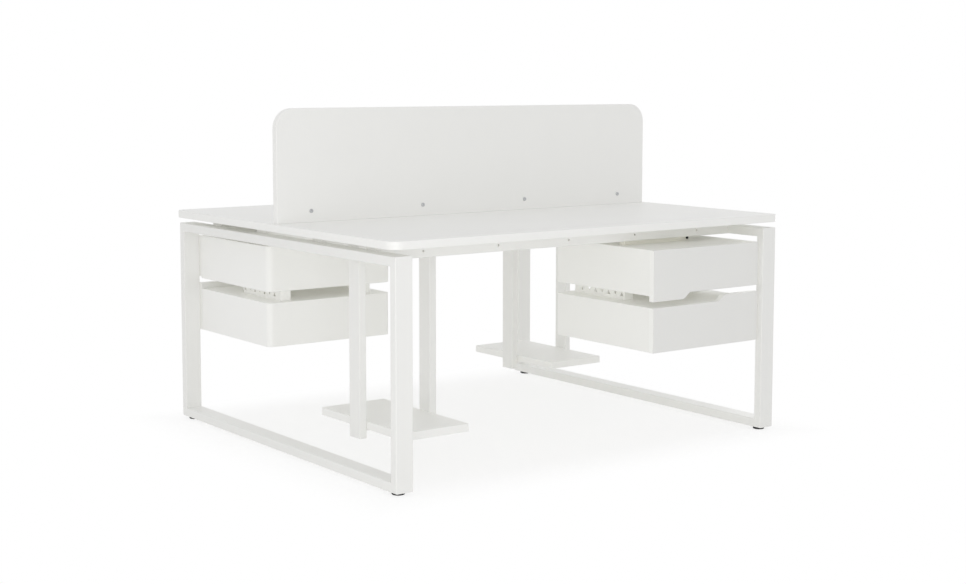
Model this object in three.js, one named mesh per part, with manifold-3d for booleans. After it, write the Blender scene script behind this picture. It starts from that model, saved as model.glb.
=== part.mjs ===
// A benching desk for two people who sit face to face. Millimetres, +Z up, origin on the floor
// under the middle of the desk. X runs along the desk, the near person sits at -Y and the far
// person at +Y. The far half of the desk is the near half turned half a turn about Z.
import * as THREE from 'three';
import { mergeVertices } from 'three/addons/utils/BufferGeometryUtils.js';
import Module from 'manifold-3d';

const wasm = await Module();
wasm.setup();

// Clearance between pieces that seat on each other
const SEAT = 0.3;

// Worktops
const TOP_LENGTH = 1600;
const TOP_DEPTH = 1400; // both worktops and the seam between them
const TOP_HEIGHT = 750;
const TOP_THICKNESS = 25;
const TOP_CORNER = 40; // radius of the outer corners, seen from above
const TOP_EDGE = 1.5;
const TOP_SEAM = 10;

// Leg frames, closed loops of rectangular tube
const FRAME_INSET_X = 15;
const FRAME_INSET_Y = 8;
const FRAME_FLOAT = 20; // gap between a frame and the worktops
const TUBE_WIDTH = 60;
const TUBE_THICKNESS = 30;
const TUBE_WALL = 2;
const TUBE_EDGE = 3;

// Levelling glides
const GLIDE_HEIGHT = 10;
const GLIDE_DIAMETER = 40;
const GLIDE_INSET = 35; // from the end of the frame
const GLIDE_STEM_DIAMETER = 10;
const GLIDE_STEM_LENGTH = 22;

// Cross beams
const BEAM_WIDTH = 60;
const BEAM_HEIGHT = 50;
const BEAM_WALL = 2;
const BEAM_EDGE = 3;
const BEAM_END_PLATE = 4;
const BEAM_OUTER_SETBACK = 180; // of the outer beam's middle behind the drawer fronts
const BEAM_INNER_SETBACK = 12; // of the inner beam's middle before the drawer unit's back
const BEAM_HOLE_DIAMETER = 8;
const BEAM_HOLE_PITCH = 286;
const BEAM_HOLE_COUNT = 5;
const BEAM_HOLE_RISE = 20; // above the underside

// Studs, bolts and screw holes
const BOLT_DIAMETER = 8;
const STUD_REACH = 6; // past the wall that a stud goes through
const BEAM_STUD_SPACING = 30;
const SCREW_HOLE_DIAMETER = 5;

// Screen
const SCREEN_LENGTH = 1574;
const SCREEN_TOP = 1120;
const SCREEN_LIFT = 2; // above the worktops
const SCREEN_THICKNESS = 25;
const SCREEN_CORNER = 65;
const SCREEN_EDGE = 2.5;
const SCREEN_BOLT_RISE = 37; // above the worktops
const SCREEN_BOLT_CAP_DIAMETER = 16;
const SCREEN_BOLT_CAP_HEIGHT = 3;

// Screen brackets
const BRACKET_COUNT = 4;
const BRACKET_PITCH = 440;
const BRACKET_WIDTH = 60;
const BRACKET_LENGTH = 140;
const BRACKET_THICKNESS = 5;
const BRACKET_SCREW_SPACING = 100;
const TONGUE_WIDTH = 40;
const TONGUE_THICKNESS = 6;
const TONGUE_RISE = 75; // above the worktops

// Computer holders
const POST_WIDTH = 25;
const POST_DEPTH = 60;
const POST_WALL = 1.5;
const POST_EDGE = 2;
const POST_FOOT_HEIGHT = 104;
const POST_INSET = 21; // from the frame's inner face
const FLANGE_MARGIN = 18; // of the flange around its post
const FLANGE_THICKNESS = 4;
const LUG_LENGTH = 40;
const LUG_THICKNESS = 4;
const SHELF_WIDTH = 238;
const SHELF_DEPTH = 478;
const SHELF_THICKNESS = 25;
const SHELF_HEIGHT = 157;
const SHELF_EDGE = 1.5;

// Hanging drawer units
const UNIT_WIDTH = 485;
const UNIT_DEPTH = 505;
const UNIT_SIDE_GAP = 5; // to the frame's inner face
const UNIT_SETBACK = 25; // of the drawer fronts behind the worktop's edge
const UNIT_DROP = 17; // from the beams to the upper casing
const UPPER_HEIGHT = 152;
const LOWER_HEIGHT = 148.5;
const CASE_WALL = 1.5;
const CASE_CORNER = 20;
const HANGER_INSET = 12; // of the hanger bars from the unit's left side
const HANGER_LENGTH = 319;
const HANGER_WIDTH = 24;
const HANGER_OUTER_SHIFT = 16; // of the front bar behind the outer beam's middle
const HANGER_INNER_SHIFT = 10; // of the rear bar in front of the inner beam's middle
const HANGER_STUD_INSET = 60; // from a bar's ends

// Link channels between the casings
const LINK_HEIGHT = 38.5;
const LINK_INSET = 64;
const LINK_LENGTH = 261;
const LINK_BACK_GAP = 31;
const LINK_FLANGE = 38;
const LINK_WALL = 2;
const LINK_HOLE_COUNT = 7;
const LINK_HOLE_PITCH = 34;
const LINK_HOLE_SHIFT = 15; // of the row of cut-outs in front of the channel's middle
const LINK_HOLE_WIDTH = 17;
const LINK_HOLE_HEIGHT = 15;

// Drawers
const FRONT_THICKNESS = 20;
const FRONT_EDGE = 2;
const FRONT_GAP = 0.6; // from a drawer front to its casing
const GRIP_DROP = 18; // of the upper front's deep part below its casing
const GRIP_RAISE = 4; // of its shallow part above the casing's underside
const GRIP_LIP = 21; // of the lower front's high part above its casing
const GRIP_DEEP_WIDTH = 127;
const GRIP_STEP = 48; // length of a front's curved step
const GRIP_SPAN = 164; // from the upper front's step to the lower front's
const TRAY_WALL = 1.5;
const TRAY_LIFT = 6; // above the casing's floor
const TRAY_BACK_GAP = 15;
const UPPER_TRAY_HEIGHT = 120;
const LOWER_TRAY_HEIGHT = 110;

// Drawer rails
const RAIL_SPACE = 13; // between a casing's side and its tray
const RAIL_HEIGHT = 45;
const RAIL_WALL = 1.5;
const RAIL_DEPTH = 9;
const RAIL_FRONT_GAP = 6;
const RAIL_BACK_GAP = 25.5; // to the casing's rear wall
const RAIL_RISE = 25; // above the tray's floor

// Fineness of the round forms
const ARC_STEPS = 6;
const EDGE_STEPS = 2;
const HOLE_SIDES = 8;
const ROUND_SIDES = 20;
const CUT_MARGIN = 5; // by which a cutting tool runs past the face that it cuts

// Places worked out from the sizes above
const topUnderside = TOP_HEIGHT - TOP_THICKNESS;
const frameTop = topUnderside - FRAME_FLOAT;
const frameOuterX = TOP_LENGTH / 2 - FRAME_INSET_X;
const frameInnerX = frameOuterX - TUBE_WIDTH;
const frameHalfY = TOP_DEPTH / 2 - FRAME_INSET_Y;
const beamTop = topUnderside - SEAT;
const beamBottom = beamTop - BEAM_HEIGHT;
const beamStudHeight = frameTop - TUBE_THICKNESS / 2;
const screenBottom = TOP_HEIGHT + SCREEN_LIFT;
const screenBoltHeight = TOP_HEIGHT + SCREEN_BOLT_RISE;
const tongueTop = TOP_HEIGHT + TONGUE_RISE;
const unitRight = frameInnerX - UNIT_SIDE_GAP;
const unitLeft = unitRight - UNIT_WIDTH;
const unitFront = UNIT_SETBACK - TOP_DEPTH / 2;
const unitBack = unitFront + UNIT_DEPTH;
const outerBeamY = unitFront + BEAM_OUTER_SETBACK;
const innerBeamY = unitBack - BEAM_INNER_SETBACK;
const caseFront = unitFront + FRONT_THICKNESS + FRONT_GAP;
const railFront = caseFront + RAIL_FRONT_GAP;
const railBack = unitBack - CASE_WALL - RAIL_BACK_GAP;
const upperTop = beamBottom - UNIT_DROP;
const upperBottom = upperTop - UPPER_HEIGHT;
const lowerTop = upperBottom - LINK_HEIGHT;
const lowerBottom = lowerTop - LOWER_HEIGHT;
const postOuterX = POST_INSET - frameInnerX;
const postInnerX = postOuterX + POST_WIDTH + SHELF_WIDTH + 2 * SEAT;
const postY = (outerBeamY + innerBeamY) / 2;
const bracketBottom = topUnderside - SEAT - BRACKET_THICKNESS;
const flangeBottom = topUnderside - SEAT - FLANGE_THICKNESS;
const holeGrowth = 1 / Math.cos(Math.PI / HOLE_SIDES); // so that a hole's flats clear a round shank
const boltHole = (BOLT_DIAMETER + 2 * SEAT) * holeGrowth;
const stemHole = (GLIDE_STEM_DIAMETER + 2 * SEAT) * holeGrowth;

// Solids and their joins and cuts

function solid(geometry) {
  const bare = geometry.clone();
  bare.deleteAttribute('normal');
  bare.deleteAttribute('uv');
  const merged = mergeVertices(bare);
  return new wasm.Manifold(new wasm.Mesh({
    numProp: 3,
    vertProperties: new Float32Array(merged.attributes.position.array),
    triVerts: new Uint32Array(merged.index.array),
  }));
}

function geometryOf(manifold) {
  const mesh = manifold.getMesh();
  const geometry = new THREE.BufferGeometry();
  geometry.setAttribute('position', new THREE.BufferAttribute(new Float32Array(mesh.vertProperties), 3));
  geometry.setIndex(new THREE.BufferAttribute(new Uint32Array(mesh.triVerts), 1));
  geometry.computeVertexNormals();
  return geometry;
}

function join(base, added) {
  return geometryOf(added.reduce((sum, piece) => sum.add(solid(piece)), solid(base)));
}

function cut(base, tools) {
  return geometryOf(tools.reduce((rest, tool) => rest.subtract(solid(tool)), solid(base)));
}

// Basic forms

function block(x0, x1, y0, y1, z0, z1) {
  return new THREE.BoxGeometry(x1 - x0, y1 - y0, z1 - z0)
    .translate((x0 + x1) / 2, (y0 + y1) / 2, (z0 + z1) / 2);
}

function roundedRect(x0, y0, x1, y1, lowRadius, highRadius) {
  const shape = new THREE.Shape();
  const corner = (x, y, radius, startAngle) => {
    if (radius > 0) shape.absarc(x, y, radius, startAngle, startAngle + Math.PI / 2);
    else shape.lineTo(x, y);
  };
  shape.moveTo(x0 + lowRadius, y0);
  corner(x1 - lowRadius, y0 + lowRadius, lowRadius, -Math.PI / 2);
  corner(x1 - highRadius, y1 - highRadius, highRadius, 0);
  corner(x0 + highRadius, y1 - highRadius, highRadius, Math.PI / 2);
  corner(x0 + lowRadius, y0 + lowRadius, lowRadius, Math.PI);
  return shape;
}

// A flat shape made thick along Z, with eased edges
function plate(shape, z0, z1, edge = 0) {
  return new THREE.ExtrudeGeometry(shape, {
    depth: z1 - z0 - 2 * edge,
    bevelEnabled: edge > 0,
    bevelThickness: edge,
    bevelSize: edge,
    bevelOffset: -edge,
    bevelSegments: EDGE_STEPS,
    curveSegments: ARC_STEPS,
  }).translate(0, 0, z0 + edge);
}

// A shape of X and Z made thick along Y
function panel(shape, y0, y1, edge = 0) {
  return plate(shape, -y1, -y0, edge).rotateX(Math.PI / 2);
}

// A shape of Y and Z made long along X
function bar(shape, x0, x1, edge = 0) {
  return plate(shape, x0, x1, edge).rotateX(Math.PI / 2).rotateZ(Math.PI / 2);
}

function rodX(diameter, x0, x1, y, z) {
  return new THREE.CylinderGeometry(diameter / 2, diameter / 2, x1 - x0, HOLE_SIDES)
    .rotateZ(-Math.PI / 2).translate((x0 + x1) / 2, y, z);
}

function rodY(diameter, x, y0, y1, z) {
  return new THREE.CylinderGeometry(diameter / 2, diameter / 2, y1 - y0, HOLE_SIDES)
    .translate(x, (y0 + y1) / 2, z);
}

function rodZ(diameter, x, y, z0, z1) {
  return new THREE.CylinderGeometry(diameter / 2, diameter / 2, z1 - z0, HOLE_SIDES)
    .rotateX(Math.PI / 2).translate(x, y, (z0 + z1) / 2);
}

// Evenly spaced places about the middle
function spread(count, pitch) {
  return Array.from({ length: count }, (_, index) => (index - (count - 1) / 2) * pitch);
}

// Finishes
const whiteBoard = { color: 0xeeeeec, roughness: 0.45, metalness: 0 };
const whiteCoat = { color: 0xececea, roughness: 0.4, metalness: 0 };
const zincSteel = { color: 0xb8bbbe, roughness: 0.35, metalness: 1 };
const blackPlastic = { color: 0x151515, roughness: 0.5, metalness: 0 };

function piece(name, geometry, finish) {
  const mesh = new THREE.Mesh(geometry, new THREE.MeshStandardMaterial(finish));
  mesh.name = name;
  return mesh;
}

// Where the fasteners stand

const beamRows = [outerBeamY, innerBeamY];
const beamStudRows = [...beamRows, -innerBeamY, -outerBeamY]
  .flatMap((y) => spread(2, BEAM_STUD_SPACING).map((offset) => y + offset));
const hangerLeft = unitLeft + HANGER_INSET;
const hangerRight = hangerLeft + HANGER_LENGTH;
const hangerRows = [outerBeamY + HANGER_OUTER_SHIFT, innerBeamY - HANGER_INNER_SHIFT];
const hangerPlaces = hangerRows
  .flatMap((y) => [[hangerLeft + HANGER_STUD_INSET, y], [hangerRight - HANGER_STUD_INSET, y]]);
const bracketPlaces = spread(BRACKET_COUNT, BRACKET_PITCH);
const glideRows = [GLIDE_INSET - frameHalfY, frameHalfY - GLIDE_INSET];

function worktop() {
  const outline = roundedRect(-TOP_LENGTH / 2, -TOP_DEPTH / 2, TOP_LENGTH / 2, -TOP_SEAM / 2, TOP_CORNER, 0);
  return plate(outline, topUnderside, TOP_HEIGHT, TOP_EDGE);
}

// The left leg frame: a loop in the YZ plane, hollow inside, with holes for the glides and the beams' studs
function legFrame() {
  const loop = (inset) => {
    const shape = roundedRect(
      inset - frameHalfY, GLIDE_HEIGHT + inset, frameHalfY - inset, frameTop - inset, 0, 0);
    const reach = TUBE_THICKNESS - inset;
    shape.holes.push(roundedRect(
      reach - frameHalfY, GLIDE_HEIGHT + reach, frameHalfY - reach, frameTop - reach, 0, 0));
    return shape;
  };
  const tube = bar(loop(0), -frameOuterX, -frameInnerX, TUBE_EDGE);
  const bore = bar(loop(TUBE_WALL), TUBE_WALL - frameOuterX, -frameInnerX - TUBE_WALL);
  const stemHoles = glideRows.map((y) => rodZ(stemHole, -frameOuterX + TUBE_WIDTH / 2, y,
    GLIDE_HEIGHT - CUT_MARGIN, GLIDE_HEIGHT + TUBE_WALL + CUT_MARGIN));
  const studHoles = beamStudRows.map((y) => rodX(boltHole, -frameInnerX - TUBE_WALL - CUT_MARGIN,
    CUT_MARGIN - frameInnerX, y, beamStudHeight));
  return cut(tube, [bore, ...stemHoles, ...studHoles]);
}

// A levelling glide: a pad with a threaded stem
function glide() {
  const radius = GLIDE_DIAMETER / 2;
  const padTop = GLIDE_HEIGHT - SEAT;
  const chamfer = GLIDE_HEIGHT / 5;
  const profile = [
    [0, 0],
    [radius - chamfer, 0],
    [radius, chamfer],
    [radius, padTop - chamfer],
    [radius - chamfer, padTop],
    [GLIDE_STEM_DIAMETER / 2, padTop],
    [GLIDE_STEM_DIAMETER / 2, padTop + GLIDE_STEM_LENGTH],
    [0, padTop + GLIDE_STEM_LENGTH],
  ];
  const points = profile.map(([r, z]) => new THREE.Vector2(r, z));
  return new THREE.LatheGeometry(points, ROUND_SIDES).rotateX(Math.PI / 2);
}

// A cross beam: a box section with drilled walls, and studs on its end plates that go into the frames
function crossBeam(y, hangers) {
  const halfLength = frameInnerX - SEAT;
  const halfWidth = BEAM_WIDTH / 2;
  const section = roundedRect(y - halfWidth, beamBottom, y + halfWidth, beamTop, BEAM_EDGE, BEAM_EDGE);
  const boreEnd = halfLength - BEAM_END_PLATE;
  const bore = block(-boreEnd, boreEnd, y - halfWidth + BEAM_WALL, y + halfWidth - BEAM_WALL,
    beamBottom + BEAM_WALL, beamTop - BEAM_WALL);
  const studEnd = frameInnerX + TUBE_WALL + STUD_REACH;
  const studs = spread(2, BEAM_STUD_SPACING).flatMap((offset) => [[-studEnd, -boreEnd], [boreEnd, studEnd]]
    .map(([x0, x1]) => rodX(BOLT_DIAMETER, x0, x1, y + offset, beamStudHeight)));
  const sideHoles = spread(BEAM_HOLE_COUNT, BEAM_HOLE_PITCH).map((x) => rodY(BEAM_HOLE_DIAMETER, x,
    y - halfWidth - CUT_MARGIN, y + halfWidth + CUT_MARGIN, beamBottom + BEAM_HOLE_RISE));
  const hangerHoles = hangers.map(([x, hangerY]) => rodZ(boltHole, x, hangerY, beamBottom - CUT_MARGIN,
    beamBottom + BEAM_WALL + CUT_MARGIN));
  const hollow = cut(bar(section, -halfLength, halfLength), [bore, ...sideHoles, ...hangerHoles]);
  return join(hollow, studs);
}

// The screen panel, slotted from below for the brackets' tongues
function screenPanel() {
  const half = SCREEN_LENGTH / 2;
  const board = panel(roundedRect(-half, screenBottom, half, SCREEN_TOP, 0, SCREEN_CORNER),
    -SCREEN_THICKNESS / 2, SCREEN_THICKNESS / 2, SCREEN_EDGE);
  const slotHalf = TONGUE_WIDTH / 2 + SEAT;
  const slotDepth = TONGUE_THICKNESS / 2 + SEAT;
  const slots = bracketPlaces.map((x) => block(x - slotHalf, x + slotHalf, -slotDepth, slotDepth,
    screenBottom - CUT_MARGIN, tongueTop + SEAT));
  const holes = bracketPlaces.map((x) => rodY(boltHole, x, -SCREEN_THICKNESS, SCREEN_THICKNESS,
    screenBoltHeight));
  return cut(board, [...slots, ...holes]);
}

// A screen bracket: a flat plate under both worktops with a tongue up through the seam
function screenBracket(x) {
  const half = BRACKET_WIDTH / 2;
  const base = block(x - half, x + half, -BRACKET_LENGTH / 2, BRACKET_LENGTH / 2, bracketBottom,
    bracketBottom + BRACKET_THICKNESS);
  const tongue = block(x - TONGUE_WIDTH / 2, x + TONGUE_WIDTH / 2, -TONGUE_THICKNESS / 2,
    TONGUE_THICKNESS / 2, bracketBottom, tongueTop);
  const screwHoles = spread(2, BRACKET_SCREW_SPACING).map((y) => rodZ(SCREW_HOLE_DIAMETER, x, y,
    bracketBottom - CUT_MARGIN, bracketBottom + BRACKET_THICKNESS + CUT_MARGIN));
  const boltHoles = [rodY(boltHole, x, -TONGUE_THICKNESS, TONGUE_THICKNESS, screenBoltHeight)];
  return cut(join(base, [tongue]), [...screwHoles, ...boltHoles]);
}

// A bolt through the screen, with a flat cap on each face
function screenBolt() {
  const capFace = SCREEN_THICKNESS / 2 + SEAT;
  const capTop = capFace + SCREEN_BOLT_CAP_HEIGHT;
  const profile = [
    [0, -capTop],
    [SCREEN_BOLT_CAP_DIAMETER / 2, -capTop],
    [SCREEN_BOLT_CAP_DIAMETER / 2, -capFace],
    [BOLT_DIAMETER / 2, -capFace],
    [BOLT_DIAMETER / 2, capFace],
    [SCREEN_BOLT_CAP_DIAMETER / 2, capFace],
    [SCREEN_BOLT_CAP_DIAMETER / 2, capTop],
    [0, capTop],
  ];
  const points = profile.map(([r, y]) => new THREE.Vector2(r, y));
  return new THREE.LatheGeometry(points, ROUND_SIDES);
}

// A post of the computer holder: a tube with a flange at its top and a lug under the shelf
function post(x0, lugSide) {
  const x1 = x0 + POST_WIDTH;
  const y0 = postY - POST_DEPTH / 2;
  const y1 = postY + POST_DEPTH / 2;
  const flangeTop = flangeBottom + FLANGE_THICKNESS;
  const tube = plate(roundedRect(x0, y0, x1, y1, POST_EDGE, POST_EDGE), POST_FOOT_HEIGHT, flangeTop);
  const flange = block(x0 - FLANGE_MARGIN, x1 + FLANGE_MARGIN, y0 - FLANGE_MARGIN, y1 + FLANGE_MARGIN,
    flangeBottom, flangeTop);
  const lugTop = SHELF_HEIGHT - SHELF_THICKNESS - SEAT;
  const lugRoot = lugSide > 0 ? x1 - POST_WALL : x0 + POST_WALL;
  const lugTip = lugSide > 0 ? x1 + LUG_LENGTH : x0 - LUG_LENGTH;
  const lug = block(Math.min(lugRoot, lugTip), Math.max(lugRoot, lugTip), y0, y1,
    lugTop - LUG_THICKNESS, lugTop);
  const bore = block(x0 + POST_WALL, x1 - POST_WALL, y0 + POST_WALL, y1 - POST_WALL,
    POST_FOOT_HEIGHT + POST_WALL, flangeTop + CUT_MARGIN);
  const screwHoles = spread(2, POST_DEPTH + FLANGE_MARGIN).map((offset) => rodZ(SCREW_HOLE_DIAMETER,
    (x0 + x1) / 2, postY + offset, flangeBottom - CUT_MARGIN, flangeTop + CUT_MARGIN));
  return cut(join(tube, [flange, lug]), [bore, ...screwHoles]);
}

function shelf() {
  const x0 = postOuterX + POST_WIDTH + SEAT;
  const outline = roundedRect(x0, postY - SHELF_DEPTH / 2, x0 + SHELF_WIDTH, postY + SHELF_DEPTH / 2, 0, 0);
  return plate(outline, SHELF_HEIGHT - SHELF_THICKNESS, SHELF_HEIGHT, SHELF_EDGE);
}

// A casing: a sheet box with round rear corners, open at the front
function casing(bottom, top) {
  const shell = plate(roundedRect(unitLeft, caseFront, unitRight, unitBack, 0, CASE_CORNER), bottom, top);
  const cavity = plate(roundedRect(unitLeft + CASE_WALL, caseFront - CUT_MARGIN, unitRight - CASE_WALL,
    unitBack - CASE_WALL, 0, CASE_CORNER - CASE_WALL), bottom + CASE_WALL, top - CASE_WALL);
  return cut(shell, [cavity]);
}

// The upper casing has bars on its roof, with studs by which it hangs from the beams
function upperCasing() {
  const studEnd = beamBottom + BEAM_WALL + STUD_REACH;
  const root = upperTop - CASE_WALL;
  const half = HANGER_WIDTH / 2;
  const bars = hangerRows
    .map((y) => block(hangerLeft, hangerRight, y - half, y + half, root, beamBottom - SEAT));
  const studs = hangerPlaces.map(([x, y]) => rodZ(BOLT_DIAMETER, x, y, root, studEnd));
  return join(casing(upperBottom, upperTop), [...bars, ...studs]);
}

// A triangular cut-out of a link channel, which points up or down
function linkCutOut(y, z, pointing) {
  const half = LINK_HOLE_WIDTH / 2;
  const rise = pointing * LINK_HOLE_HEIGHT / 2;
  const corners = [[y - half, z - rise], [y + half, z - rise], [y, z + rise]];
  return new THREE.Shape(corners.map(([along, up]) => new THREE.Vector2(along, up)));
}

// A link channel between the casings, with a row of triangles that point up and down by turns
function linkChannel(side) {
  const outer = side < 0 ? unitLeft + LINK_INSET : unitRight - LINK_INSET;
  const place = (inward) => outer - side * inward;
  const y1 = unitBack - LINK_BACK_GAP;
  const y0 = y1 - LINK_LENGTH;
  const outline = [
    [0, y0],
    [LINK_FLANGE, y0],
    [LINK_FLANGE, y0 + LINK_WALL],
    [LINK_WALL, y0 + LINK_WALL],
    [LINK_WALL, y1 - LINK_WALL],
    [LINK_FLANGE, y1 - LINK_WALL],
    [LINK_FLANGE, y1],
    [0, y1],
  ];
  const shape = new THREE.Shape(outline.map(([inward, y]) => new THREE.Vector2(place(inward), y)));
  const middle = (lowerTop + upperBottom) / 2;
  const rowMiddle = (y0 + y1) / 2 - LINK_HOLE_SHIFT;
  const holes = spread(LINK_HOLE_COUNT, LINK_HOLE_PITCH).map((offset, index) => bar(
    linkCutOut(rowMiddle + offset, middle, index % 2 ? -1 : 1), outer - CUT_MARGIN, outer + CUT_MARGIN));
  return cut(plate(shape, lowerTop + SEAT, upperBottom - SEAT), holes);
}

// A straight edge that goes on in a curved step to another height
function addStep(shape, x0, z0, x1, z1) {
  const middle = (x0 + x1) / 2;
  shape.lineTo(x0, z0);
  shape.bezierCurveTo(middle, z0, middle, z1, x1, z1);
}

// The upper drawer front, whose lower edge steps up to leave room for the fingers
function upperFront() {
  const low = upperBottom - GRIP_DROP;
  const high = upperBottom + GRIP_RAISE;
  const stepStart = unitLeft + GRIP_DEEP_WIDTH;
  const shape = new THREE.Shape();
  shape.moveTo(unitLeft, low);
  addStep(shape, stepStart, low, stepStart + GRIP_STEP, high);
  shape.lineTo(unitRight, high);
  shape.lineTo(unitRight, upperTop);
  shape.lineTo(unitLeft, upperTop);
  return panel(shape, unitFront, unitFront + FRONT_THICKNESS, FRONT_EDGE);
}

// The lower drawer front, whose upper edge follows the upper front's step further along
function lowerFront() {
  const high = lowerTop + GRIP_LIP;
  const stepStart = unitLeft + GRIP_DEEP_WIDTH + GRIP_SPAN;
  const shape = new THREE.Shape();
  shape.moveTo(unitLeft, lowerBottom);
  shape.lineTo(unitRight, lowerBottom);
  shape.lineTo(unitRight, high);
  addStep(shape, stepStart + GRIP_STEP, high, stepStart, lowerTop);
  shape.lineTo(unitLeft, lowerTop);
  return panel(shape, unitFront, unitFront + FRONT_THICKNESS, FRONT_EDGE);
}

// A drawer's tray, open at the top
function tray(caseBottom, height) {
  const x0 = unitLeft + CASE_WALL + RAIL_SPACE;
  const x1 = unitRight - CASE_WALL - RAIL_SPACE;
  const y0 = unitFront + FRONT_THICKNESS + SEAT;
  const y1 = unitBack - CASE_WALL - TRAY_BACK_GAP;
  const floor = caseBottom + CASE_WALL + TRAY_LIFT;
  const cavity = block(x0 + TRAY_WALL, x1 - TRAY_WALL, y0 + TRAY_WALL, y1 - TRAY_WALL,
    floor + TRAY_WALL, floor + height + CUT_MARGIN);
  return cut(block(x0, x1, y0, y1, floor, floor + height), [cavity]);
}

// A channel section of X and Z, from its web at x, opening along the given direction
function channel(x, opening, depth, z0, z1) {
  const outline = [
    [0, z0],
    [depth, z0],
    [depth, z0 + RAIL_WALL],
    [RAIL_WALL, z0 + RAIL_WALL],
    [RAIL_WALL, z1 - RAIL_WALL],
    [depth, z1 - RAIL_WALL],
    [depth, z1],
    [0, z1],
  ];
  return new THREE.Shape(outline.map(([reach, z]) => new THREE.Vector2(x + opening * reach, z)));
}

// The fixed rail on a casing's side
function fixedRail(side, caseBottom) {
  const wall = side < 0 ? unitLeft + CASE_WALL : unitRight - CASE_WALL;
  const bottom = caseBottom + CASE_WALL + TRAY_LIFT + RAIL_RISE;
  const section = channel(wall - side * SEAT, -side, RAIL_DEPTH, bottom, bottom + RAIL_HEIGHT);
  return panel(section, railFront, railBack);
}

// The sliding rail on a tray's side, nested in the fixed rail
function slidingRail(side, caseBottom) {
  const trayFace = side < 0 ? unitLeft + CASE_WALL + RAIL_SPACE : unitRight - CASE_WALL - RAIL_SPACE;
  const bottom = caseBottom + CASE_WALL + TRAY_LIFT + RAIL_RISE;
  const depth = RAIL_SPACE - 3 * SEAT - RAIL_WALL;
  const section = channel(trayFace + side * SEAT, side, depth, bottom + RAIL_WALL + SEAT,
    bottom + RAIL_HEIGHT - RAIL_WALL - SEAT);
  return panel(section, railFront, railBack);
}

// One person's hanging unit with its two drawers
function drawerUnit(place) {
  const unit = new THREE.Group();
  const levels = [
    {
      level: 'upper',
      bottom: upperBottom,
      height: UPPER_TRAY_HEIGHT,
      shell: upperCasing(),
      front: upperFront(),
    },
    {
      level: 'lower',
      bottom: lowerBottom,
      height: LOWER_TRAY_HEIGHT,
      shell: casing(lowerBottom, lowerTop),
      front: lowerFront(),
    },
  ];
  const sides = [['left', -1], ['right', 1]];
  for (const { level, bottom, height, shell, front } of levels) {
    unit.add(piece(`${place}_${level}_casing`, shell, whiteCoat));
    unit.add(piece(`${place}_${level}_drawer_front`, front, whiteBoard));
    unit.add(piece(`${place}_${level}_drawer_tray`, tray(bottom, height), whiteCoat));
    for (const [name, side] of sides) {
      unit.add(piece(`${place}_${level}_fixed_rail_${name}`, fixedRail(side, bottom), zincSteel));
      unit.add(piece(`${place}_${level}_sliding_rail_${name}`, slidingRail(side, bottom), zincSteel));
    }
  }
  for (const [name, side] of sides) {
    unit.add(piece(`${place}_link_channel_${name}`, linkChannel(side), whiteCoat));
  }
  return unit;
}

// One person's computer holder
function computerHolder(place) {
  const holder = new THREE.Group();
  holder.add(piece(`${place}_holder_post_outer`, post(postOuterX, 1), whiteCoat));
  holder.add(piece(`${place}_holder_post_inner`, post(postInnerX, -1), whiteCoat));
  holder.add(piece(`${place}_holder_shelf`, shelf(), whiteBoard));
  return holder;
}

// One person's half of the desk, with the leg frame at its left end
function deskHalf(place, end, glideNames) {
  const half = new THREE.Group();
  half.add(piece(`${place}_worktop`, worktop(), whiteBoard));
  half.add(piece(`leg_frame_${end}`, legFrame(), whiteCoat));
  const hangersOn = (row) => hangerPlaces.filter((hanger) => hanger[1] === hangerRows[row]);
  half.add(piece(`${place}_beam_outer`, crossBeam(beamRows[0], hangersOn(0)), whiteCoat));
  half.add(piece(`${place}_beam_inner`, crossBeam(beamRows[1], hangersOn(1)), whiteCoat));
  glideRows.forEach((y, index) => {
    const foot = piece(`glide_${glideNames[index]}`, glide(), blackPlastic);
    foot.position.set(-frameOuterX + TUBE_WIDTH / 2, y, 0);
    half.add(foot);
  });
  half.add(drawerUnit(place));
  half.add(computerHolder(place));
  return half;
}

const desk = new THREE.Group();
desk.add(deskHalf('near', 'left', ['near_left', 'far_left']));
const farHalf = deskHalf('far', 'right', ['far_right', 'near_right']);
farHalf.rotation.z = Math.PI;
desk.add(farHalf);
desk.add(piece('screen_panel', screenPanel(), whiteBoard));
bracketPlaces.forEach((x, index) => {
  desk.add(piece(`screen_bracket_${index + 1}`, screenBracket(x), whiteCoat));
  const bolt = piece(`screen_bolt_${index + 1}`, screenBolt(), zincSteel);
  bolt.position.set(x, 0, screenBoltHeight);
  desk.add(bolt);
});

export default desk;
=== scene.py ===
import math

import bmesh
import bpy
from mathutils import Matrix, Vector


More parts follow.
